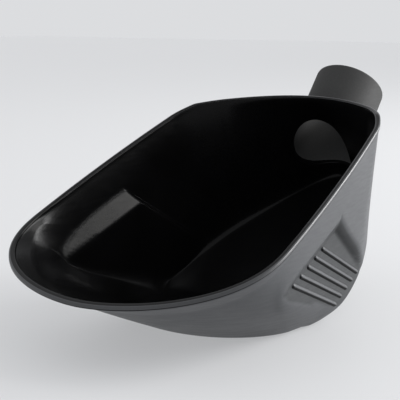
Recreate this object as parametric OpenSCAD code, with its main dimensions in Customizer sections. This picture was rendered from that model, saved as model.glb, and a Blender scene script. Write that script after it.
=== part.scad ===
// Grain scoop with a round pour-through handle.
// Millimetres, +Z up. The origin is on the table under the middle of the flat base,
// the pouring lip faces -Y and the handle rises towards +Y.

/* [Mouth] */
// Half width of the mouth at the back corners
back_half_w = 90; // [60:1:120]
// Half width of the mouth where the nose begins
nose_half_w = 107.5; // [70:0.5:140]
// How far the straight sides bow outwards
side_bow = 3.2; // [0:0.1:8]
// Distance of the back corners behind the origin
corner_y = 90; // [60:1:120]
// Distance of the nose start in front of the origin
nose_y = 78.5; // [50:0.5:110]
// Distance of the lip in front of the origin
lip_y = 156; // [110:1:200]
// How far the back edge bows out behind the corners
back_bow = 43.5; // [10:0.5:70]
// Length of the rounded back corners along each edge
corner_r = 22; // [8:1:40]
// How strongly the rounded back corners are pulled towards a sharp corner
corner_pull = 0.8; // [0.3:0.05:1.5]
// Height of the back corners
corner_z = 150; // [100:1:200]
// Height of the middle of the back edge
back_z = 157.5; // [100:0.5:220]
// Fall of the mouth for each millimetre towards the lip
mouth_fall = 0.423; // [0.1:0.001:0.7]
// Fullness of the nose where it leaves the sides: 2 is an ellipse
nose_side_power = 1.8; // [1.5:0.05:3]
// Fullness of the nose at the lip: 2 is an ellipse
nose_lip_power = 2.38; // [1.5:0.02:3]

/* [Walls] */
// Wall thickness
wall = 3; // [1.5:0.1:5]
// Rounding between the walls and the base, from the nose to the sides
base_round = 30; // [8:1:45]
// The same rounding behind the sides
rear_round = 20; // [8:1:45]
// Rounding where the back wall meets the back ramp
back_round = 14; // [6:1:40]

/* [Base] */
// Half width of the flat base
base_half_w = 69; // [40:1:90]
// Distance of the base's back edge behind the origin
base_back_y = 44; // [20:1:70]
// Half width of the straight part of the base's back edge
base_back_half_w = 48; // [20:1:60]
// Length of the base's rounded back corners
base_corner = 18; // [5:1:30]
// Distance of the base's rounded front in front of the origin
base_front_y = 50; // [20:1:90]
// Distance in front of the origin where the rounded front begins
base_turn_y = 5; // [-20:1:30]
// Distance behind the origin of the rounded front's centre
base_mid_y = 10; // [-20:1:30]
// How far the base's sides close in at the back corners and at the rounded front
base_taper = [1, 4]; // [0:1:10]

/* [Knee] */
// Half width of the knee, where walls and floor would meet unrounded, at the back corners
knee_corner_x = 80.5; // [60:0.5:100]
// Share of that half width that belongs to the back wall
knee_back_share = 0.78; // [0.5:0.01:0.95]
// How far the knee widens round the back corners
knee_corner_gain = 3; // [0:0.5:8]
// How far the knee turns forwards round the back corners
knee_corner_run = 24; // [10:1:40]
// Corner of the knee where the nose begins
knee_nose = [98, -80, 44]; // [-150:1:150]
// Height of the knee beside the base
knee_low_z = 14; // [4:0.5:30]
// Distance behind the origin where the knee starts to rise towards the nose
knee_low_y = 34; // [0:1:60]
// Place of the knee under the lip in plan, from base to mouth
knee_lip_reach = 0.52; // [0.3:0.01:0.8]
// Height of the knee under the lip as a share of the lip's height
knee_lip_height = 0.5; // [0.3:0.01:0.8]
// How gradually the knee takes up that place round the nose
knee_lip_ease = 0.4; // [0.2:0.05:1]

/* [Back] */
// Distance of the deepest point of the back behind the origin
stern_y = 201; // [130:1:220]
// Width of the rounded middle of the back
stern_r = 30; // [10:1:60]
// How far the back corners' knee lies in front of the mouth's corners
stern_gap = 4; // [0:1:20]
// Rise of the back ramp for each millimetre backwards
ramp_slope = 0.515; // [0.2:0.005:0.9]
// Distance behind the origin where the ramp's line would meet the table
ramp_start_y = 37; // [10:1:60]

/* [Rim band] */
// Height of the band around the mouth
band_h = 3; // [1.5:0.1:6]
// How far the band stands proud of the wall
band_t = 0.8; // [0.3:0.1:2]

/* [Handle] */
// Outer radius of the handle tube
handle_r = 30; // [18:0.5:40]
// Wall thickness of the handle tube
handle_wall = 3; // [1.5:0.1:5]
// Angle of the handle above the table
handle_angle = 48.6; // [20:0.1:70]
// Distance of the handle's mouth in the bowl behind the origin
handle_y = 158; // [120:1:190]
// Height of the handle's mouth in the bowl
handle_z = 109; // [80:1:140]
// Length of the handle from the bowl's back wall to its open end
handle_len = 70; // [40:1:160]

/* [Finger recess] */
// Inner top corner of the recess floor, right-hand side
recess_top = [88, 17, 73]; // [-150:1:150]
// Corner where the recess's roof and back meet the side wall
recess_edge = [100, 9, 88]; // [-150:1:150]
// Front corner of the recess, where its floor meets the side wall
recess_front = [96, -66, 45]; // [-150:1:150]
// Lower back corner of the recess floor
recess_low = [75, 86, 31]; // [-150:1:150]
// Inner top corner on the inside of the bowl
inside_top = [85, 19, 76]; // [-150:1:150]
// Roof corner on the inside
inside_edge = [96, 7, 88.5]; // [-150:0.5:150]
// Front corner on the inside
inside_front = [92.5, -66, 43]; // [-150:0.5:150]
// Lower back corner on the inside
inside_low = [72, 88, 34]; // [-150:1:150]

/* [Grip ribs] */
// Ribs in each recess
rib_count = 5; // [3:1:8]
// Radius of a rib
rib_r = 2; // [1:0.1:3]
// How far a rib stands out of the recess floor
rib_h = 1.4; // [0.5:0.1:2.5]
// Front end of the top rib on the recess floor: distance back and height
rib_first_start = [-3, 64.3]; // [-100:0.1:100]
// Back end of the top rib
rib_first_end = [74, 31.5]; // [-100:0.1:100]
// Front end of the bottom rib
rib_last_start = [-50, 48.5]; // [-100:0.1:100]
// Back end of the bottom rib
rib_last_end = [34, 15.5]; // [-100:0.1:100]

/* [Hidden] */
body_colour = [0.10, 0.10, 0.11];
handle_colour = [0.13, 0.13, 0.14];
rib_colour = [0.11, 0.11, 0.12];

// Stations round half the outline, and levels down the wall.
back_steps = 8;
corner_steps = 6;
side_steps = 10;
nose_steps = 16;
half_steps = back_steps + corner_steps + side_steps + nose_steps;
loop_count = 2 * half_steps;
band_level = 1;
wall_level = band_level + 6;
round_level = wall_level + 6;
base_level = round_level + 3;
tube_facets = 96;
rib_facets = 24;

// Smallest length divided by.
eps = 0.01;
// Largest share of a side that a rounding may take.
round_limit = 0.98;
// Least lean between wall and mouth that the inner edge allows for.
least_lean = 0.3;
// How far the cavity runs above the mouth, and the tube into the bowl, before they are trimmed.
cavity_rise = 60;
tube_sink = 28;
tube_over = 1;
// How far the cutting wedge runs past the recess's front, lower and roof corners.
wedge_reach = [1.6, 1.7, 4];

// Straight blend from a to b.
function mix(a, b, t) = a + (b - a) * t;
// 0 to 1 with flat ends.
function ease(t) = t * t * (3 - 2 * t);
// Superellipse arm: n = 2 is a circle.
function arm(v, n) = pow(max(v, 0), 2 / n);
// Rounded corner from a to c past b, with weight w on b.
function corner_curve(a, b, c, w, t) =
    let (ka = (1 - t) * (1 - t), kb = 2 * w * t * (1 - t), kc = t * t)
    (ka * a + kb * b + kc * c) / (ka + kb + kc);
// Point a given distance along the way from one point to another.
function near(from, to, r) = from + (to - from) * min(round_limit, r / norm(to - from));

// ---- Mouth outline, right half, in plan: back middle, corner, side, nose, lip middle.
function side_x(y) =
    let (v = (corner_y - y) / (corner_y + nose_y))
    mix(back_half_w, nose_half_w, v) + 4 * side_bow * v * (1 - v);
function back_edge_y(x) = corner_y + back_bow * (1 - pow(x / back_half_w, 2));
back_rise = (back_z - corner_z) / back_bow;
function mouth_slope(y) = y > corner_y ? back_rise : mouth_fall;
function mouth_z(y) = corner_z + mouth_slope(y) * (y - corner_y);

function back_xy(v) = let (x = v * (back_half_w - corner_r)) [x, back_edge_y(x)];
function corner_xy(v) =
    corner_curve(back_xy(1), [back_half_w, corner_y], side_xy(0), corner_pull, v);
function side_xy(v) = let (y = mix(corner_y - corner_r, -nose_y, v)) [side_x(y), y];
function nose_xy(v) = [nose_half_w * arm(cos(90 * v), nose_side_power),
                       -nose_y - (lip_y - nose_y) * arm(sin(90 * v), nose_lip_power)];

// Station k of the half outline: [part of the outline, place in that part].
corner_start = back_steps;
side_start = corner_start + corner_steps;
nose_start = side_start + side_steps;
function station(k) =
    k < corner_start ? [0, k / back_steps]
    : k < side_start ? [1, (k - corner_start) / corner_steps]
    : k < nose_start ? [2, (k - side_start) / side_steps]
    : [3, (k - nose_start) / nose_steps];

function plan(s) = s[0] == 0 ? back_xy(s[1]) : s[0] == 1 ? corner_xy(s[1])
    : s[0] == 2 ? side_xy(s[1]) : nose_xy(s[1]);
function mouth_pt(s) = let (p = plan(s)) [p[0], p[1], mouth_z(p[1])];

// ---- Flat base outline, matched station by station to the mouth.
base_rear_x = base_half_w - base_taper[0];
base_side_x = base_half_w - base_taper[1];
base_side_y = base_back_y - base_corner;
base_front_r = base_front_y + base_mid_y;
base_turn = asin((base_turn_y + base_mid_y) / base_front_r);
function base_corner_xy(v) = [mix(base_back_half_w, base_rear_x, sin(90 * v)),
                              mix(base_back_y, base_side_y, 1 - cos(90 * v))];
function base_side_xy(v) = [mix(base_rear_x, base_side_x, v), mix(base_side_y, -base_turn_y, v)];
function base_nose_xy(v) = let (a = mix(base_turn, 90, v))
    [base_side_x * cos(a) / cos(base_turn), base_mid_y - base_front_r * sin(a)];
function base_xy(s) = s[0] == 0 ? [base_back_half_w * s[1], base_back_y]
    : s[0] == 1 ? base_corner_xy(s[1]) : s[0] == 2 ? base_side_xy(s[1]) : base_nose_xy(s[1]);
function base_pt(s) = let (p = base_xy(s)) [p[0], p[1], 0];

// ---- Knee: the corner that each wall would make with the floor before it is rounded.
knee_back_x = knee_corner_x * knee_back_share;
knee_side_x = knee_corner_x + knee_corner_gain;
stern_slope = (stern_y - corner_y + stern_gap) / (norm([knee_corner_x, stern_r]) - stern_r);
function stern_edge_y(x) = stern_y - stern_slope * (norm([x, stern_r]) - stern_r);
function ramp_z(y) = max(0, ramp_slope * (y - ramp_start_y));
knee_rise = (knee_nose[2] - knee_low_z) / (knee_low_y - knee_nose[1]);
function flank_z(y) = knee_low_z + knee_rise * max(0, knee_low_y - y);
knee_side_y = stern_edge_y(knee_side_x) - knee_corner_run;
function knee_back_pt(v) = let (x = knee_back_x * v, y = stern_edge_y(x)) [x, y, ramp_z(y)];
function knee_corner_pt(v) =
    let (x = mix(knee_back_x, knee_side_x, v), y = stern_edge_y(x) - knee_corner_run * v * v)
    [x, y, ramp_z(y)];
function knee_side_pt(v) = let (y = mix(knee_side_y, knee_nose[1], v))
    [mix(knee_side_x, knee_nose[0], ease(v)), y, max(ramp_z(y), flank_z(y))];

// Place of the knee between base and mouth where the nose begins.
nose_base = base_nose_xy(0);
nose_reach_x = (knee_nose[0] - nose_base[0]) / (nose_half_w - nose_base[0]);
nose_reach_y = (knee_nose[1] - nose_base[1]) / (-nose_y - nose_base[1]);
nose_height = knee_nose[2] / mouth_z(-nose_y);
function knee_nose_pt(m, b, v) =
    let (w = pow(sin(90 * v), knee_lip_ease))
    [mix(b[0], m[0], mix(nose_reach_x, knee_lip_reach, w)),
     mix(b[1], m[1], mix(nose_reach_y, knee_lip_reach, w)),
     m[2] * mix(nose_height, knee_lip_height, w)];
function knee_pt(s) = s[0] == 0 ? knee_back_pt(s[1]) : s[0] == 1 ? knee_corner_pt(s[1])
    : s[0] == 2 ? knee_side_pt(s[1]) : knee_nose_pt(mouth_pt(s), base_pt(s), s[1]);
function knee_round(s) = s[0] == 0 ? back_round : s[0] == 1 ? mix(back_round, rear_round, s[1])
    : s[0] == 2 ? mix(rear_round, base_round, ease(s[1])) : base_round;

// ---- A wall drops behind the band, runs straight to the knee, round it, and straight to the base.
function wall_pt(s, j) =
    let (m = mouth_pt(s), k = knee_pt(s), b = base_pt(s), r = knee_round(s),
         foot = m - [0, 0, band_h], upper = near(k, m, r), lower = near(k, b, r))
    j < band_level ? m
    : j <= wall_level ? mix(foot, upper, (j - band_level) / (wall_level - band_level))
    : j <= round_level
        ? corner_curve(upper, k, lower, 1, (j - wall_level) / (round_level - wall_level))
    : mix(lower, b, (j - round_level) / (base_level - round_level));

function flip(p) = [-p[0], p[1], p[2]];
function outer_pt(i, j) =
    let (k = (i + loop_count) % loop_count, right = k <= half_steps,
         p = wall_pt(station(right ? k : loop_count - k), j))
    right ? p : flip(p);

// Unit normal pointing out of the bowl.
function outward(i, j) =
    let (a = outer_pt(i + 1, j) - outer_pt(i - 1, j),
         b = outer_pt(i, min(j + 1, base_level)) - outer_pt(i, max(j - 1, 0)),
         n = cross(a, b))
    n / max(norm(n), eps);
// Level direction out of the bowl at the mouth, and the same tilted into the mouth's plane.
function level_out(i) = let (o = outward(i, 0)) [o[0], o[1], 0] / max(norm([o[0], o[1]]), eps);
function mouth_out(i) = let (f = level_out(i)) f + [0, 0, f[1] * mouth_slope(outer_pt(i, 0)[1])];
function inner_edge(i) = let (e = mouth_out(i))
    outer_pt(i, 0) - e * wall / max(outward(i, 0) * e, least_lean);
function inset_pt(i, j) = outer_pt(i, j) - wall * outward(i, j);
function inner_pt(i, j) =
    j < wall_level ? mix(inner_edge(i), inset_pt(i, wall_level), j / wall_level)
    : j == base_level ? let (p = outer_pt(i, j)) [p[0], p[1], wall]
    : inset_pt(i, j);
function ring(j) = [for (i = [0 : loop_count - 1]) outer_pt(i, j)];
function inner_ring(j) = [for (i = [0 : loop_count - 1]) inner_pt(i, j)];
function raised(points, rise) = [for (p = points) p + [0, 0, rise]];

// Solid through a stack of rings, closed by a point above the first and below the last.
module loft(rings, top) {
    n = len(rings[0]);
    m = len(rings);
    points = [for (r = rings) each r, top, [0, 0, rings[m - 1][0][2]]];
    sides = [
        for (j = [0 : m - 2], i = [0 : n - 1])
            let (k = (i + 1) % n, a = j * n, b = a + n)
            each [[a + i, b + i, a + k], [a + k, b + i, b + k]]
    ];
    ends = [
        for (i = [0 : n - 1])
            let (k = (i + 1) % n, last = (m - 1) * n)
            each [[m * n, i, k], [m * n + 1, last + k, last + i]]
    ];
    polyhedron(points, concat(sides, ends), convexity = 8);
}

module outer_form() {
    loft([for (j = [0 : base_level]) ring(j)], [0, 0, mouth_z(0)]);
}
module cavity_form() {
    levels = [for (j = [0 : base_level]) inner_ring(j)];
    loft(concat([raised(inner_ring(0), cavity_rise)], levels), [0, 0, corner_z + cavity_rise]);
}

// Wedge that cuts a finger recess: three planes that meet at its inner top corner.
module recess_wedge(top, edge, front, low) {
    points = [for (c = [0, wedge_reach[2]], b = [0, wedge_reach[1]], a = [0, wedge_reach[0]])
        top + a * (front - top) + b * (low - top) + c * (edge - top)];
    faces = [[0, 1, 3, 2], [4, 6, 7, 5], [0, 4, 5, 1], [2, 3, 7, 6], [0, 2, 6, 4], [1, 5, 7, 3]];
    polyhedron(points, faces);
}
module both_sides() {
    children();
    mirror([1, 0, 0]) children();
}
module outer_recess() {
    both_sides() recess_wedge(recess_top, recess_edge, recess_front, recess_low);
}
module inner_recess() {
    both_sides() recess_wedge(inside_top, inside_edge, inside_front, inside_low);
}

// Round rod along the handle's axis, from inside the bowl to the open end.
module handle_rod(r, over) {
    translate([0, handle_y, handle_z])
        rotate([handle_angle - 90, 0, 0])
            translate([0, 0, -tube_sink - over])
                cylinder(r = r, h = tube_sink + handle_len + 2 * over, $fn = tube_facets);
}

module bowl_shell() color(body_colour) difference() {
    outer_form();
    outer_recess();
    difference() {
        cavity_form();
        inner_recess();
    }
    handle_rod(handle_r, 0);
}

module handle_tube() color(handle_colour) difference() {
    handle_rod(handle_r, 0);
    handle_rod(handle_r - handle_wall, tube_over);
    cavity_form();
}

// Band around the mouth, one closed ring with a four-sided section.
function band_pt(i, proud, down) =
    outer_pt(i, 0) + proud * band_t * level_out(i) - [0, 0, down * band_h];
module rim_band() color(body_colour) {
    n = loop_count;
    points = [for (c = [[0, 0], [0, 1], [1, 1], [1, 0]], i = [0 : n - 1]) band_pt(i, c[0], c[1])];
    faces = [
        for (j = [0 : 3], i = [0 : n - 1])
            let (k = (i + 1) % n, a = j * n, b = ((j + 1) % 4) * n)
            each [[a + i, a + k, b + i], [a + k, b + k, b + i]]
    ];
    polyhedron(points, faces, convexity = 8);
}

// Point of the recess floor at a given place back and height.
floor_cross = cross(recess_front - recess_top, recess_low - recess_top);
floor_normal = floor_cross / norm(floor_cross);
function floor_pt(yz) =
    let (drop = floor_normal[1] * (yz[0] - recess_top[1]) + floor_normal[2] * (yz[1] - recess_top[2]))
    [recess_top[0] - drop / floor_normal[0], yz[0], yz[1]];

module rib(from, to) {
    d = to - from;
    translate(from) rotate([0, acos(d[2] / norm(d)), atan2(d[1], d[0])]) {
        cylinder(r = rib_r, h = norm(d), $fn = rib_facets);
        sphere(r = rib_r, $fn = rib_facets);
        translate([0, 0, norm(d)]) sphere(r = rib_r, $fn = rib_facets);
    }
}
module grip_ribs() {
    sink = floor_normal * sign(floor_normal[0]) * (rib_r - rib_h);
    for (i = [0 : rib_count - 1]) {
        t = i / (rib_count - 1);
        rib(floor_pt(mix(rib_first_start, rib_last_start, t)) - sink,
            floor_pt(mix(rib_first_end, rib_last_end, t)) - sink);
    }
}
module grip_ribs_right() color(rib_colour) grip_ribs();
module grip_ribs_left() color(rib_colour) mirror([1, 0, 0]) grip_ribs();

bowl_shell();
rim_band();
handle_tube();
grip_ribs_right();
grip_ribs_left();
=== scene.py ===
"""Visual model of a grain scoop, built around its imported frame.

Shapes are worked out in millimetres and written to Blender in metres. The scoop stands on z = 0,
its lip faces -Y and its handle rises towards +Y.
"""

import math

import bpy
import numpy as np
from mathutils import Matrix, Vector
from mathutils.bvhtree import BVHTree


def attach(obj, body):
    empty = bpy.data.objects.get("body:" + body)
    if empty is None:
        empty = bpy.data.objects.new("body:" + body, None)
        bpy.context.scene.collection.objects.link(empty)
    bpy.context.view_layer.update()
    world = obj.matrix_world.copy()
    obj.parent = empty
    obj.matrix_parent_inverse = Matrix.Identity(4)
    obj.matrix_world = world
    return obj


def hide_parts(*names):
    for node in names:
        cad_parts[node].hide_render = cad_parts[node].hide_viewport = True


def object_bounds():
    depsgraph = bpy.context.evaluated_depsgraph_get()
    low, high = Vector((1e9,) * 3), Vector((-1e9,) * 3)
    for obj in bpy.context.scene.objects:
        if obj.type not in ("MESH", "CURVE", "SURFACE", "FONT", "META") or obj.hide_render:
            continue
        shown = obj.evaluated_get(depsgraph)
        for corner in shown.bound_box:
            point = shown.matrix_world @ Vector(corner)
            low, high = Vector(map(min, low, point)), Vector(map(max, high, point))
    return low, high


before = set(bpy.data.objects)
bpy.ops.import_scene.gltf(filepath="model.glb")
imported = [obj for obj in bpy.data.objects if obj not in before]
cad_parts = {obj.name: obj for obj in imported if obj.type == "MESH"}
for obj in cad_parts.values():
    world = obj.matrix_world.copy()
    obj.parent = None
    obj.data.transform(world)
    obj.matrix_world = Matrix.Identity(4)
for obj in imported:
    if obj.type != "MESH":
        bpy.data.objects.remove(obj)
cad_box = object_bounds()

# ---- Driving dimensions, in millimetres ----

# The mouth from above: half widths, then how far its back edge, side and corner reach.
BACK_HALF_W, NOSE_HALF_W, SIDE_BOW = 90.0, 107.5, 3.2
CORNER_Y, NOSE_Y, LIP_Y, BACK_BOW, CORNER_R = 90.0, 78.5, 156.0, 43.5, 22.0
# The mouth from the side: its heights at the back, and how fast it falls towards the lip.
CORNER_Z, BACK_Z, MOUTH_FALL = 150.0, 157.5, 0.423
NOSE_ARM_X, NOSE_ARM_Y, CORNER_PULL = 1.8, 2.38, 0.8

# The wall, and the rounding of the knee where the wall turns in towards the base.
WALL, BASE_ROUND, REAR_ROUND, BACK_ROUND = 3.0, 30.0, 20.0, 14.0

# The flat base that it stands on.
BASE_BACK_HALF_W, BASE_REAR_X, BASE_SIDE_X, BASE_CORNER = 48.0, 68.0, 65.0, 18.0
BASE_BACK_Y, BASE_FRONT_Y, BASE_MID_Y, BASE_TURN_Y = 44.0, 50.0, 10.0, 5.0
BASE_CENTRE = np.array([0.0, -5.0, 0.0])

# The stern behind the base, and the ramp that climbs to it.
STERN_Y, STERN_R, STERN_GAP, RAMP_SLOPE, RAMP_START_Y = 201.0, 30.0, 4.0, 0.515, 37.0

# The knee: the line round the bowl between the wall and the slope down to the base.
KNEE_X, KNEE_BACK_SHARE, KNEE_GAIN, KNEE_CORNER_RUN = 80.5, 0.78, 3.0, 24.0
KNEE_NOSE = np.array([98.0, -80.0, 44.0])
KNEE_LOW_Y, KNEE_LOW_Z = 34.0, 14.0
KNEE_LIP_REACH, KNEE_LIP_HEIGHT, KNEE_LIP_EASE = 0.52, 0.5, 0.4
BASE_BLEND, KNEE_BLEND = 6.0, 9.0

# The band round the mouth.
BAND_H, BAND_T = 3.0, 0.8

# The handle: its radii and tilt, and how far it runs along its axis from HANDLE_AT.
HANDLE_R, HANDLE_BORE, HANDLE_ANGLE, HANDLE_LEN = 30.0, 27.0, math.radians(48.6), 70.0
HANDLE_AT = np.array([0.0, 158.0, 109.0])
AXIS = np.array([0.0, math.cos(HANDLE_ANGLE), math.sin(HANDLE_ANGLE)])
HANDLE_SIDES, RAY_START = 144, 90.0
FLARE, FLARE_REACH, HOLE_FLARE = 5.0, 0.8, 0.8
BORE_R = HANDLE_BORE + 0.03

# Corners of the finger recess: its inner top corner, then one along each of its three edges.
OUTER_RECESS = {"top": (88, 17, 73), "edge": (100, 9, 88), "front": (96, -66, 45), "low": (75, 86, 31)}
INNER_RECESS = {"top": (85, 19, 76), "edge": (96, 7, 88.5), "front": (92.5, -66, 43), "low": (72, 88, 34)}

# How crisply the recess meets the wall and how softly its back runs out, outside and inside.
OUTER_CRISP, OUTER_SOFT = 0.8, 3.5
INNER_CRISP, INNER_SOFT = 1.2, 2.0

# Painted shade in the recess: full at this depth, fading over this reach away from its rear corner, and its
# share on the recess floor.
SHADE_DEPTH, SHADE_REACH, FLOOR_SHADE = 3.0, 9.0, 0.6

# The ribs, as (y, z) of the two ends of the first and the last one.
RIB_COUNT, RIB_HALF_W, RIB_H, RIB_ROOT = 5, 1.9, 1.7, 0.9
# Faces on each rib's lower flank, which get the near-black painted shadow.
FLANK_FACES = 6
FIRST_RIB = ((-3.0, 64.3), (74.0, 31.5))
LAST_RIB = ((-50.0, 48.5), (34.0, 15.5))

# Points along each part of the half outline, and rows down the wall.
BACK_N, CORNER_N, SIDE_N, NOSE_N = 34, 20, 138, 72
BAND_N, WALL_N, ROUND_N, FLOOR_N, FOOT_N, BASE_N = 5, 55, 14, 4, 5, 5


# ---- Small numeric helpers ----

def mix(a, b, t):
    return a + (b - a) * t


def ease(t):
    return t * t * (3 - 2 * t)


def unit(v):
    return v / np.maximum(np.linalg.norm(v, axis=-1, keepdims=True), 1e-9)


def points(x, y, z):
    return np.stack(np.broadcast_arrays(x, y, z), axis=-1).astype(float)


def dot(a, b):
    return np.sum(a * b, axis=-1)


def smooth_min(a, b, k):
    """The lower of a and b, blended over a width k where they meet."""
    h = np.clip(0.5 + 0.5 * (b - a) / k, 0, 1)
    return mix(b, a, h) - k * h * (1 - h)


# ---- Outline of the mouth, the base and the knee between them ----

def side_x(y):
    v = (CORNER_Y - y) / (CORNER_Y + NOSE_Y)
    return mix(BACK_HALF_W, NOSE_HALF_W, v) + 4 * SIDE_BOW * v * (1 - v)


def back_edge_y(x):
    return CORNER_Y + BACK_BOW * (1 - (x / BACK_HALF_W) ** 2)


def mouth_z(y):
    behind = mix(CORNER_Z, BACK_Z, (y - CORNER_Y) / BACK_BOW)
    return np.where(y > CORNER_Y, behind, CORNER_Z - MOUTH_FALL * (CORNER_Y - y))


def stern_edge_y(x):
    slope = (STERN_Y - CORNER_Y + STERN_GAP) / (math.hypot(KNEE_X, STERN_R) - STERN_R)
    return STERN_Y - slope * (np.hypot(x, STERN_R) - STERN_R)


def ramp_z(y):
    return np.maximum(RAMP_SLOPE * (y - RAMP_START_Y), 0)


def flank_z(y):
    rise = (KNEE_NOSE[2] - KNEE_LOW_Z) / (KNEE_LOW_Y - KNEE_NOSE[1])
    return KNEE_LOW_Z + rise * np.maximum(0, KNEE_LOW_Y - y)


def back_part(v):
    x = v * (BACK_HALF_W - CORNER_R)
    knee_x = KNEE_X * KNEE_BACK_SHARE * v
    knee_y = stern_edge_y(knee_x)
    return (x, back_edge_y(x), points(BASE_BACK_HALF_W * v, BASE_BACK_Y, 0),
            points(knee_x, knee_y, ramp_z(knee_y)), np.full_like(v, BACK_ROUND))


def corner_part(v):
    start_x = BACK_HALF_W - CORNER_R
    a, b = np.array([start_x, back_edge_y(start_x)]), np.array([BACK_HALF_W, CORNER_Y])
    c = np.array([side_x(CORNER_Y - CORNER_R), CORNER_Y - CORNER_R])
    ka, kb, kc = (1 - v) ** 2, 2 * CORNER_PULL * v * (1 - v), v ** 2
    xy = (ka[:, None] * a + kb[:, None] * b + kc[:, None] * c) / (ka + kb + kc)[:, None]
    turn = v * math.pi / 2
    base = points(mix(BASE_BACK_HALF_W, BASE_REAR_X, np.sin(turn)),
                  BASE_BACK_Y - BASE_CORNER * (1 - np.cos(turn)), 0)
    knee_x = mix(KNEE_X * KNEE_BACK_SHARE, KNEE_X + KNEE_GAIN, v)
    knee_y = stern_edge_y(knee_x) - KNEE_CORNER_RUN * v ** 2
    return (xy[:, 0], xy[:, 1], base, points(knee_x, knee_y, ramp_z(knee_y)),
            mix(BACK_ROUND, REAR_ROUND, v))


def side_part(v):
    y = mix(CORNER_Y - CORNER_R, -NOSE_Y, v)
    base = points(mix(BASE_REAR_X, BASE_SIDE_X, v), mix(BASE_BACK_Y - BASE_CORNER, -BASE_TURN_Y, v), 0)
    knee_y = mix(stern_edge_y(KNEE_X + KNEE_GAIN) - KNEE_CORNER_RUN, KNEE_NOSE[1], v)
    knee = points(mix(KNEE_X + KNEE_GAIN, KNEE_NOSE[0], ease(v)), knee_y,
                  np.maximum(ramp_z(knee_y), flank_z(knee_y)))
    return side_x(y), y, base, knee, mix(REAR_ROUND, BASE_ROUND, ease(v))


def nose_part(v):
    turn = v * math.pi / 2
    x = NOSE_HALF_W * np.maximum(np.cos(turn), 0) ** (2 / NOSE_ARM_X)
    y = -NOSE_Y - (LIP_Y - NOSE_Y) * np.sin(turn) ** (2 / NOSE_ARM_Y)
    z = mouth_z(y)
    radius = BASE_FRONT_Y + BASE_MID_Y
    start = math.asin((BASE_TURN_Y + BASE_MID_Y) / radius)
    angle = mix(start, math.pi / 2, v)
    base = points(BASE_SIDE_X * np.cos(angle) / math.cos(start), BASE_MID_Y - radius * np.sin(angle), 0)
    first_x = (KNEE_NOSE[0] - base[0, 0]) / (NOSE_HALF_W - base[0, 0])
    first_y = (KNEE_NOSE[1] - base[0, 1]) / (-NOSE_Y - base[0, 1])
    first_z = KNEE_NOSE[2] / float(mouth_z(-NOSE_Y))
    w = np.sin(turn) ** KNEE_LIP_EASE
    knee = points(mix(base[:, 0], x, mix(first_x, KNEE_LIP_REACH, w)),
                  mix(base[:, 1], y, mix(first_y, KNEE_LIP_REACH, w)),
                  z * mix(first_z, KNEE_LIP_HEIGHT, w))
    return x, y, base, knee, np.full_like(v, BASE_ROUND)


def half_outline():
    """Mouth, base and knee points and the knee's rounding, from the back's middle to the lip's."""
    parts = [
        back_part(np.arange(BACK_N) / BACK_N),
        corner_part(np.arange(CORNER_N) / CORNER_N),
        side_part(np.arange(SIDE_N) / SIDE_N),
        nose_part((np.arange(NOSE_N + 1) / NOSE_N) ** 1.7),
    ]
    x, y, base, knee, rounding = (np.concatenate(group) for group in zip(*parts))
    mouth = points(x, y, mouth_z(y))
    return mouth, eased(base, mouth, BASE_BLEND), eased(knee, mouth, KNEE_BLEND), rounding


def eased(line, mouth, reach):
    """The half outline's line with its corners blended over a distance measured along the mouth."""
    flip = np.array([-1, 1, 1])
    whole = np.concatenate([line[:0:-1] * flip, line, line[-2::-1] * flip])
    step = np.linalg.norm(np.diff(mouth, axis=0), axis=1)
    at = np.concatenate([[0], np.cumsum(step)])
    length = at[-1]
    place = np.concatenate([-at[:0:-1], at, 2 * length - at[-2::-1]])
    gap = np.concatenate([[0], np.diff(place)])
    share = (gap + np.roll(gap, -1)) / 2
    weight = np.exp(-0.5 * ((at[:, None] - place[None, :]) / reach) ** 2) * share
    return weight @ whole / weight.sum(axis=1, keepdims=True)


# ---- The bowl's outer surface, as rows of points from the mouth to the middle of the base ----

def near(start, end, reach):
    away = end - start
    length = np.linalg.norm(away, axis=-1)
    return start + away * np.minimum(0.98, reach / length)[:, None]


def curve(a, b, c, t):
    return (1 - t) ** 2 * a + 2 * t * (1 - t) * b + t ** 2 * c


def outer_rows():
    """Rows of the right half. Row 0 is the mouth's edge, and row 1 lies just under it."""
    mouth, base, knee, rounding = half_outline()
    upper, lower = near(knee, mouth, rounding), near(knee, base, rounding)
    foot = near(base, lower, np.minimum(9, 0.6 * np.linalg.norm(base - lower, axis=-1)))
    flat = mix(base, BASE_CENTRE, 0.12)
    down = np.array([0.0, 0.0, -1.0])
    rows = [mouth, mouth + 0.6 * down]
    band_foot = mouth + BAND_H * down
    turn = near(band_foot, upper, np.full(len(mouth), 3.0))
    rows += [curve(rows[1], band_foot, turn, j / BAND_N) for j in range(1, BAND_N + 1)]
    rows += [mix(turn, upper, j / WALL_N) for j in range(1, WALL_N + 1)]
    rows += [curve(upper, knee, lower, j / ROUND_N) for j in range(1, ROUND_N + 1)]
    rows += [mix(lower, foot, j / FLOOR_N) for j in range(1, FLOOR_N + 1)]
    rows += [curve(foot, base, flat, j / FOOT_N) for j in range(1, FOOT_N + 1)]
    rows += [mix(flat, BASE_CENTRE, j / (BASE_N + 1)) for j in range(1, BASE_N + 1)]
    return np.array(rows)


def whole_loop(half):
    """Rows round the whole bowl from rows of its right half."""
    left = half[:, -2:0:-1].copy()
    left[..., 0] *= -1
    return np.concatenate([half, left], axis=1)


def outward_normals(grid):
    around = np.roll(grid, -1, axis=1) - np.roll(grid, 1, axis=1)
    down = np.gradient(grid, axis=0)
    return unit(np.cross(around, down))


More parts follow.
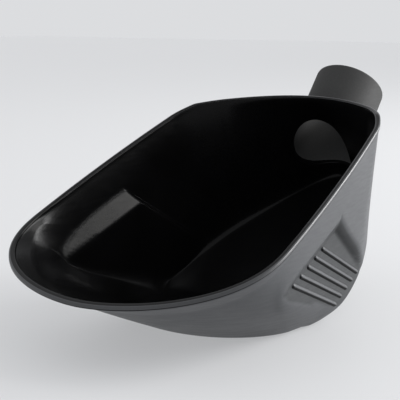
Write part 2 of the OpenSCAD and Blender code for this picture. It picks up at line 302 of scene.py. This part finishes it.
def recess_depth(grid, corners, crisp, soft):
    """How far the finger recess pushes each point inwards, and how much painted shade darkens it there.

    The recess has three flat faces. Its floor and its top edge meet the wall crisply, and its back
    face runs softly into the wall.
    """
    top = np.array(corners["top"], float)
    edges = np.array([np.array(corners[name], float) - top for name in ("front", "low", "edge")]).T
    solve = np.linalg.inv(edges)
    right = np.concatenate([np.abs(grid[..., :1]), grid[..., 1:]], axis=-1)
    place = (right - top) @ solve.T
    rate = solve[:, 0]
    back, roof, floor = (place[..., k] / rate[k] for k in range(3))
    inside = smooth_min(floor, roof, crisp)
    deep = smooth_min(inside, back, crisp)
    width = mix(soft, crisp, np.clip((back - inside) / soft, 0, 1))
    # Painted shade: darkest in the recess's rear corner, fading away from it, with a lighter share over the
    # whole floor.
    shade = np.clip(deep / SHADE_DEPTH, 0, 1) * np.exp(-np.maximum(floor - back, 0) / SHADE_REACH)
    shade = np.maximum(shade * np.clip((floor - back) / crisp, 0, 1), FLOOR_SHADE * np.clip(deep / 0.5, 0, 1))
    return -smooth_min(-deep, 0, width), shade


def carve(grid, corners, crisp, soft):
    out = grid.copy()
    depth, shade = recess_depth(grid, corners, crisp, soft)
    out[..., 0] -= np.sign(grid[..., 0]) * depth
    return out, shade


def mouth_frames(outer, normals):
    """For each point of the mouth: the way out in the mouth's plane and the inner edge there."""
    flat = unit(normals[0] * np.array([1, 1, 0]))
    behind = outer[0][:, 1] > CORNER_Y
    fall = np.where(behind, (BACK_Z - CORNER_Z) / BACK_BOW, MOUTH_FALL)
    out = flat + np.stack([0 * fall, 0 * fall, flat[:, 1] * fall], axis=-1)
    inner = outer[0] - out * (WALL / np.maximum(dot(normals[0], out), 0.3))[:, None]
    return out, inner


def inner_rows(outer, normals, inner_edge):
    """The bowl's inner surface, one wall thickness in, with its top edge cut in the mouth's plane."""
    inset = outer - WALL * normals
    depth = np.linalg.norm(outer - outer[0], axis=-1)
    pull = np.clip(1 - depth / 40, 0, 1) ** 2
    return inset + pull[..., None] * (inner_edge - inset[0])


# ---- Meshes ----

def enclosed(verts, faces):
    """Signed volume of a closed mesh: positive when its faces look outwards."""
    fans = np.array([(f[0], f[k], f[k + 1]) for f in faces for k in range(1, len(f) - 1)])
    a, b, c = (verts[fans[:, k]] for k in range(3))
    return float(np.sum(dot(a, np.cross(b, c)))) / 6


def new_object(name, verts, faces):
    """A smooth closed mesh object from millimetre points, in metres, with its faces looking out."""
    verts = np.asarray(verts, float)
    if enclosed(verts, faces) < 0:
        faces = [face[::-1] for face in faces]
    mesh = bpy.data.meshes.new(name)
    mesh.from_pydata([tuple(v) for v in verts * 0.001], [], faces)
    mesh.validate()
    mesh.update()
    mesh.shade_smooth()
    obj = bpy.data.objects.new(name, mesh)
    bpy.context.scene.collection.objects.link(obj)
    return obj


def ring_faces(rows, count, first=0, flip=False):
    """Quads between rings of points laid one after another."""
    faces = []
    for j in range(rows - 1):
        for i in range(count):
            k = (i + 1) % count
            a, b = first + j * count, first + (j + 1) * count
            quad = (a + i, b + i, b + k, a + k)
            faces.append(quad[::-1] if flip else quad)
    return faces


def closed_section(name, rings):
    """A closed ring-shaped solid from a loop of rings."""
    rows, count = rings.shape[:2]
    faces = []
    for j in range(rows):
        for i in range(count):
            k, below = (i + 1) % count, (j + 1) % rows
            faces.append((j * count + i, below * count + i, below * count + k, j * count + k))
    return new_object(name, rings.reshape(-1, 3), faces)


def bowl_mesh(outer, inner):
    """The bowl as one closed solid, with material 1 on its inside."""
    rows, count = outer.shape[:2]
    centres = [BASE_CENTRE, BASE_CENTRE + np.array([0, 0, WALL])]
    verts = np.concatenate([outer.reshape(-1, 3), inner.reshape(-1, 3), centres])
    size = rows * count
    outside = ring_faces(rows, count)
    outside += [((rows - 1) * count + i, 2 * size, (rows - 1) * count + (i + 1) % count)
                for i in range(count)]
    inside = ring_faces(rows, count, size, True)
    inside += [(size + (rows - 1) * count + (i + 1) % count, 2 * size + 1,
                size + (rows - 1) * count + i) for i in range(count)]
    land = [(i, (i + 1) % count, size + (i + 1) % count, size + i) for i in range(count)]
    bowl = new_object("bowl", verts, outside + land + inside)
    index = np.zeros(len(bowl.data.polygons), np.int32)
    index[len(outside) + len(land):] = 1
    bowl.data.polygons.foreach_set("material_index", index)
    return bowl


def surface_tree(grid):
    rows, count = grid.shape[:2]
    return BVHTree.FromPolygons([Vector(p) for p in grid.reshape(-1, 3)], ring_faces(rows, count))


# ---- The handle, and the hole that it opens into ----

def handle_point(angle, radius, along):
    """A point at an angle round the handle's axis. Angle 90 degrees is the handle's upper side."""
    side, up = np.array([1.0, 0, 0]), np.array([0.0, -AXIS[2], AXIS[1]])
    radial = np.cos(angle)[:, None] * side + np.sin(angle)[:, None] * up
    return HANDLE_AT + radial * np.reshape(radius, (-1, 1)) + AXIS * np.reshape(along, (-1, 1))


def turn_angles():
    return np.arange(HANDLE_SIDES) * 2 * math.pi / HANDLE_SIDES


def meeting(tree, angle, radius):
    """Where lines along the handle meet a surface, and how that surface slopes away outwards."""
    along, slope = [], []
    for a in angle:
        one = np.array([a])
        start = handle_point(one, radius, RAY_START)[0]
        _, normal, _, distance = tree.ray_cast(Vector(start), Vector(-AXIS))
        radial = unit(handle_point(one, 1.0, 0.0)[0] - HANDLE_AT)
        along.append(RAY_START - distance)
        slope.append(-float(normal.dot(Vector(radial))) / float(normal.dot(Vector(AXIS))))
    return np.array(along), np.array(slope)


def handle_mesh(outer_tree):
    """The tube, rounded at its open end and flared softly where it meets the bowl's back."""
    angle = turn_angles()
    wall_at, slope = meeting(outer_tree, angle, HANDLE_R)
    bore_at, _ = meeting(outer_tree, angle, HANDLE_BORE)
    slope = np.clip(slope, -2.5, 2.5)
    rings = [handle_point(angle, BORE_R, bore_at - 1.5)]
    rings += [handle_point(angle, BORE_R, mix(bore_at - 1.5, HANDLE_LEN - 1.4, t))
              for t in (0.02, 0.25, 0.5, 0.75, 0.98)]
    lip = [(HANDLE_BORE, -1.1), (HANDLE_BORE + 0.1, -0.45), (HANDLE_BORE + 0.5, -0.1),
           (HANDLE_BORE + 1.0, 0), (HANDLE_R - 1.4, 0), (HANDLE_R - 0.7, -0.15),
           (HANDLE_R - 0.2, -0.6), (HANDLE_R, -1.4)]
    rings += [handle_point(angle, r, HANDLE_LEN + s) for r, s in lip]
    rings += [handle_point(angle, HANDLE_R, mix(HANDLE_LEN - 2, wall_at + FLARE, t))
              for t in (0.0, 0.02, 0.25, 0.5, 0.75, 0.98)]
    for t in np.linspace(0, 1, 9):
        radius = HANDLE_R + FLARE * FLARE_REACH * t ** 2
        along = wall_at + FLARE * (1 - t) ** 2 + slope * FLARE * FLARE_REACH * t ** 2
        rings.append(handle_point(angle, radius, along))
    radius = HANDLE_R + FLARE * FLARE_REACH + 0.3
    rings.append(handle_point(angle, radius, wall_at + slope * (radius - HANDLE_R) - 0.6))
    rings.append(handle_point(angle, HANDLE_R - 1, wall_at - 1.2))
    return closed_section("handle", np.array(rings))


def hole_cutter(inner_tree):
    """A plug with a flared end that leaves the hole in the bowl's back with a rounded edge."""
    angle = turn_angles()
    at, slope = meeting(inner_tree, angle, HANDLE_BORE)
    rings = [handle_point(angle, HANDLE_BORE, np.full(len(angle), 40.0)),
             handle_point(angle, HANDLE_BORE, at + HOLE_FLARE)]
    for t in (0.25, 0.5, 0.75, 1.0, 1.12):
        along = at + HOLE_FLARE * (1 - t) * abs(1 - t) + (slope * HOLE_FLARE - 0.25 * HOLE_FLARE) * t ** 2
        rings.append(handle_point(angle, HANDLE_BORE + HOLE_FLARE * t ** 2, along))
    rings.append(handle_point(angle, HANDLE_BORE - 6, at + slope * -6 - 9))
    rings = np.array(rings)
    rows, count = rings.shape[:2]
    faces = ring_faces(rows, count)
    faces += [tuple(range(count)), tuple(reversed(range((rows - 1) * count, rows * count)))]
    return new_object("cutter", rings.reshape(-1, 3), faces)


def cut_hole(bowl, cutter):
    """Takes the cutter out of the bowl. The hole's wall gets the inside's material."""
    cutter.data.polygons.foreach_set("material_index", [1] * len(cutter.data.polygons))
    boolean = bowl.modifiers.new("hole", "BOOLEAN")
    boolean.operation, boolean.solver, boolean.object = "DIFFERENCE", "EXACT", cutter
    ready = bowl.evaluated_get(bpy.context.evaluated_depsgraph_get())
    mesh = bpy.data.meshes.new_from_object(ready)
    bowl.modifiers.clear()
    bowl.data = mesh
    bpy.data.objects.remove(cutter)
    mesh.set_sharp_from_angle(angle=math.radians(40))


# ---- The rim round the mouth ----

def rounded(before, at, after, reach, steps):
    """Points round a corner, starting and ending a reach away from it."""
    start = at + unit(before - at) * reach
    end = at + unit(after - at) * reach
    return [curve(start, at, end, j / steps) for j in range(steps + 1)]


def rim_mesh(outer, inner, out, inner_edge):
    """The band over the mouth's edge: material 1, a near-black painted shadow, under its lower edge, and 2,
    the inside's gloss with its painted shade, down its inner side.
    """
    edge, level_out = outer[0], out * np.array([1, 1, 0])
    inner_down = unit(inner[6] - inner[1])
    foot = edge - np.array([0, 0, BAND_H])
    foot_in_wall, foot_out = foot - 1.5 * level_out, foot + BAND_T * level_out
    top_out = edge + BAND_T * out
    proud = inner_edge - 0.12 * out
    foot_in = proud + 2.2 * inner_down
    rings = [foot_in_wall]
    rings += rounded(foot_in_wall, foot_out, top_out, 0.7, 3)
    rings += rounded(foot_out, top_out, proud, 1.15, 5)
    along_side = ease(np.clip((edge[:, 1:2] + NOSE_Y) / 40, 0, 1))
    rings += rounded(top_out, proud, foot_in, mix(0.9, 2.1, along_side), 5)
    rings += rounded(proud, foot_in, foot_in + out, 0.4, 2)
    rings += [foot_in + 1.2 * out]
    rim = closed_section("rim", np.array(rings))
    index = np.zeros(len(rim.data.polygons), np.int32)
    # Painted shadow under the band's lower edge, and the inside's painted shade down its inner side.
    index[:4 * len(edge)] = 1
    index[10 * len(edge):] = 2
    rim.data.polygons.foreach_set("material_index", index)
    return rim


# ---- The grip ribs ----

def recess_floor_point(y, z):
    top, front, low = (np.array(OUTER_RECESS[k], float) for k in ("top", "front", "low"))
    normal = unit(np.cross(front - top, low - top))
    x = top[0] - (normal[1] * (y - top[1]) + normal[2] * (z - top[2])) / normal[0]
    return np.array([x, y, z]), normal * np.sign(normal[0])


def rib_parts(side):
    """Five low ridges with rounded ends, each a closed solid that stands on the recess floor.

    The last list tells which faces belong to the lower flank of a ridge, which is painted near black as its
    shadow.
    """
    verts, faces, lower = [], [], []
    across = np.linspace(-1, 1, 17)
    for index in range(RIB_COUNT):
        t = index / (RIB_COUNT - 1)
        (y0, z0), (y1, z1) = (mix(np.array(a), np.array(b), t) for a, b in zip(FIRST_RIB, LAST_RIB))
        (start, normal), (end, _) = recess_floor_point(y0, z0), recess_floor_point(y1, z1)
        along = unit(end - start)
        over = np.cross(normal, along)
        over *= np.sign(over[2])
        length = np.linalg.norm(end - start)
        cap = np.sin(np.linspace(0, math.pi / 2, 9))
        stops = np.concatenate([RIB_HALF_W * (cap - 1), np.linspace(3, length - 3, 24),
                                length + RIB_HALF_W * (1 - cap[::-1])])
        sizes = np.concatenate([np.sqrt(np.maximum(1 - (cap - 1) ** 2, 0)), np.ones(24),
                                np.sqrt(np.maximum(1 - (1 - cap[::-1]) ** 2, 0))])
        sizes = np.maximum(sizes, 0.02)
        first = len(verts)
        ring = 2 * len(across)
        for stop, size in zip(stops, sizes):
            middle = start + along * stop
            for a in across:
                height = RIB_H * size * math.cos(a * math.pi / 2) ** 0.75 - 0.15
                verts.append(middle + over * (a * RIB_HALF_W * size) + normal * height)
            for a in across[::-1]:
                verts.append(middle + over * (a * RIB_HALF_W * size) - normal * RIB_ROOT)
        stacks = len(stops)
        for j in range(stacks - 1):
            for i in range(ring):
                a, b, k = first + j * ring, first + (j + 1) * ring, (i + 1) % ring
                faces.append((a + i, b + i, b + k, a + k))
                lower.append(i < FLANK_FACES)
        faces.append(tuple(first + i for i in range(ring)))
        faces.append(tuple(first + (stacks - 1) * ring + i for i in reversed(range(ring))))
        lower += [False, False]
    return np.array(verts) * np.array([side, 1, 1]), faces, lower


def rib_object(name, side):
    verts, faces, lower = rib_parts(side)
    ribs = new_object(name, verts, faces)
    # The lower flanks get material 1, a near-black painted shadow.
    ribs.data.polygons.foreach_set("material_index", np.array(lower, np.int32))
    return ribs


# ---- Materials ----

def material(name, dark, light, rough, rough_spread, grain_scale, grain_depth, specular=0.5, edge_lift=0.0):
    """A moulded plastic: mottled colour, uneven gloss, a fine grain, lighter sharp convex edges, and painted
    shade where the 'shade' attribute is set.
    """
    made = bpy.data.materials.new(name)
    made.use_nodes = True
    nodes, links = made.node_tree.nodes, made.node_tree.links
    shader = nodes["Principled BSDF"]
    place = nodes.new("ShaderNodeTexCoord")

    def noise(scale, detail, stretch=(1, 1, 1)):
        mapping = nodes.new("ShaderNodeMapping")
        mapping.inputs["Scale"].default_value = stretch
        links.new(place.outputs["Object"], mapping.inputs["Vector"])
        texture = nodes.new("ShaderNodeTexNoise")
        texture.inputs["Scale"].default_value = scale
        texture.inputs["Detail"].default_value = detail
        links.new(mapping.outputs["Vector"], texture.inputs["Vector"])
        return texture.outputs["Fac"]

    def spread(source, low, high, new_low, new_high):
        ramp = nodes.new("ShaderNodeMapRange")
        for key, value in zip(("From Min", "From Max", "To Min", "To Max"), (low, high, new_low, new_high)):
            ramp.inputs[key].default_value = value
        links.new(source, ramp.inputs["Value"])
        return ramp.outputs["Result"]

    def maths(operation, first, second):
        node = nodes.new("ShaderNodeMath")
        node.operation = operation
        for slot, value in zip(node.inputs, (first, second)):
            if isinstance(value, (int, float)):
                slot.default_value = value
            else:
                links.new(value, slot)
        return node.outputs["Value"]

    cloud = noise(18, 4)
    speck = noise(700, 3)
    streak = noise(60, 5, (1, 1, 9))
    colour = nodes.new("ShaderNodeMix")
    colour.data_type = "RGBA"
    colour.inputs["A"].default_value = (*dark, 1)
    colour.inputs["B"].default_value = (*light, 1)
    blend = maths("ADD", spread(cloud, 0.3, 0.7, 0, 0.55), spread(speck, 0.45, 0.75, 0, 0.35))
    # Sharp convex edges are made lighter.
    if edge_lift:
        shape = nodes.new("ShaderNodeNewGeometry")
        blend = maths("ADD", blend, spread(shape.outputs["Pointiness"], 0.5, 0.62, 0, edge_lift))
    links.new(blend, colour.inputs["Factor"])
    # Painted shade: the 'shade' attribute mixes the colour towards near black and weakens its reflections.
    corner = nodes.new("ShaderNodeAttribute")
    corner.attribute_name = "shade"
    shaded = nodes.new("ShaderNodeMix")
    shaded.data_type = "RGBA"
    shaded.inputs["B"].default_value = (0.004, 0.005, 0.005, 1)
    links.new(spread(corner.outputs["Fac"], 0, 1, 0, 0.85), shaded.inputs["Factor"])
    links.new(colour.outputs["Result"], shaded.inputs["A"])
    links.new(shaded.outputs["Result"], shader.inputs["Base Color"])
    links.new(spread(corner.outputs["Fac"], 0, 1, specular, specular * 0.2),
              shader.inputs["Specular IOR Level"])

    gloss = maths("ADD", spread(cloud, 0.3, 0.7, rough - rough_spread, rough),
                  spread(streak, 0.35, 0.7, 0, rough_spread))
    links.new(gloss, shader.inputs["Roughness"])

    grain = nodes.new("ShaderNodeBump")
    grain.inputs["Strength"].default_value = 0.5
    grain.inputs["Distance"].default_value = grain_depth
    links.new(noise(grain_scale, 2), grain.inputs["Height"])
    links.new(grain.outputs["Normal"], shader.inputs["Normal"])
    return made


def pale_floor():
    """A pale, slightly mottled ground that gives some light of its own."""
    made = bpy.data.materials.new("pale_floor")
    made.use_nodes = True
    nodes, links = made.node_tree.nodes, made.node_tree.links
    shader = nodes["Principled BSDF"]
    shader.inputs["Roughness"].default_value = 0.55
    shader.inputs["Emission Color"].default_value = (0.90, 0.91, 0.93, 1)
    shader.inputs["Emission Strength"].default_value = 0.42
    texture = nodes.new("ShaderNodeTexNoise")
    texture.inputs["Scale"].default_value = 2.5
    colour = nodes.new("ShaderNodeMix")
    colour.data_type = "RGBA"
    colour.inputs["A"].default_value = (0.30, 0.303, 0.307, 1)
    colour.inputs["B"].default_value = (0.32, 0.32, 0.323, 1)
    links.new(texture.outputs["Fac"], colour.inputs["Factor"])
    links.new(colour.outputs["Result"], shader.inputs["Base Color"])
    return made


# ---- Build the scoop ----

satin = material("satin_black", (0.031, 0.033, 0.037), (0.054, 0.057, 0.062), 0.44, 0.07, 1500, 0.00012,
                 specular=0.42, edge_lift=0.3)
# The inside: its own glossier finish, with darker colour and weak reflections as painted shade for the dark
# room it faces.
gloss = material("gloss_black_painted_shade", (0.002, 0.002, 0.002), (0.005, 0.005, 0.0055), 0.22, 0.05, 900, 0.00003,
                 specular=0.12)
edge = material("rim_black", (0.030, 0.031, 0.033), (0.048, 0.050, 0.054), 0.38, 0.06, 1500, 0.00006,
                edge_lift=0.3)
# Near-black painted shadow for the ribs' lower flanks and the rim band's lower edge.
deep = material("painted_shadow_black", (0.004, 0.004, 0.004), (0.010, 0.010, 0.011), 0.60, 0.06, 1500, 0.00006,
                specular=0.1)
matt = material("handle_black", (0.042, 0.042, 0.042), (0.063, 0.063, 0.062), 0.66, 0.06, 1500, 0.00010,
                specular=0.1, edge_lift=0.2)

outer_plain = whole_loop(outer_rows())
normals = outward_normals(outer_plain)
mouth_out, inner_edge = mouth_frames(outer_plain, normals)
inner_plain = inner_rows(outer_plain, normals, inner_edge)
outer_skin, outer_shade = carve(outer_plain, OUTER_RECESS, OUTER_CRISP, OUTER_SOFT)
inner_skin, inner_shade = carve(inner_plain, INNER_RECESS, INNER_CRISP, INNER_SOFT)

bowl = bowl_mesh(outer_skin[1:], inner_skin[1:])
# The outside carries the painted shade of the recess; the inside gets none.
shades = np.concatenate([outer_shade[1:].ravel(), 0 * inner_shade[1:].ravel(), [0, 0]])
bowl.data.attributes.new("shade", "FLOAT", "POINT").data.foreach_set("value", shades)
for made in (satin, gloss):
    bowl.data.materials.append(made)
outer_tree, inner_tree = surface_tree(outer_skin), surface_tree(inner_skin)
rim = rim_mesh(outer_plain, inner_plain, mouth_out, inner_edge)
handle = handle_mesh(outer_tree)
cut_hole(bowl, hole_cutter(inner_tree))
handle.data.set_sharp_from_angle(angle=math.radians(50))
rim.data.set_sharp_from_angle(angle=math.radians(50))
ribs_right, ribs_left = rib_object("ribs_right", 1), rib_object("ribs_left", -1)

for made in (edge, deep, gloss):
    rim.data.materials.append(made)
handle.data.materials.append(matt)
for ribs in (ribs_right, ribs_left):
    ribs.data.materials.append(satin)
    ribs.data.materials.append(deep)

for piece, slot, nodes in (
    (bowl, "bowl", ["bowl_shell"]),
    (rim, "rim", ["rim_band"]),
    (handle, "handle", ["handle_tube"]),
    (ribs_right, "grip", ["grip_ribs_right"]),
    (ribs_left, "grip", ["grip_ribs_left"]),
):
    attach(piece, "root")
    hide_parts(*nodes)

# ---- Stage, lights and camera ----

low, high = (Vector(corner) for corner in cad_box)
middle = (low + high) / 2

bpy.ops.mesh.primitive_plane_add(size=14, location=(0, 0, low.z))
floor = bpy.context.active_object
floor.name = "floor"
floor.data.materials.append(pale_floor())


def area_light(name, azimuth, elevation, distance, size, power, colour=(1, 1, 1)):
    """A soft box that faces the scoop. Azimuth 0 is +Y, and it turns towards +X."""
    a, e = math.radians(azimuth), math.radians(elevation)
    away = Vector((math.sin(a) * math.cos(e), math.cos(a) * math.cos(e), math.sin(e)))
    data = bpy.data.lights.new(name, "AREA")
    data.shape, data.size, data.size_y = "RECTANGLE", *size
    data.energy, data.color = power, colour
    light = bpy.data.objects.new(name, data)
    light.location = middle + away * distance
    light.rotation_euler = (-away).to_track_quat("-Z", "Y").to_euler()
    bpy.context.scene.collection.objects.link(light)


area_light("window", 58, 38, 2.2, (0.7, 0.7), 10.5, (1.0, 0.99, 0.97))
area_light("side", 40, 14, 2.4, (1.5, 0.9), 84)

world = bpy.data.worlds.new("studio")
world.use_nodes = True
background = world.node_tree.nodes["Background"]
background.inputs["Color"].default_value = (0.83, 0.84, 0.86, 1)
background.inputs["Strength"].default_value = 0.86
bpy.context.scene.world = world
bpy.context.scene.view_settings.view_transform = "Standard"

AZIMUTH, ELEVATION, DISTANCE, LENS = math.radians(35.24), math.radians(9.69), 0.8354, 99.0
look_at = middle + Vector((-0.0267, -0.0192, -0.0063))
forward = Vector((-math.sin(AZIMUTH) * math.cos(ELEVATION), math.cos(AZIMUTH) * math.cos(ELEVATION),
                  -math.sin(ELEVATION)))
camera_data = bpy.data.cameras.new("camera")
camera_data.lens = LENS
camera = bpy.data.objects.new("camera", camera_data)
camera.location = look_at - forward * DISTANCE
camera.rotation_euler = (math.pi / 2 - ELEVATION, 0, AZIMUTH)
bpy.context.scene.collection.objects.link(camera)
bpy.context.scene.camera = camera
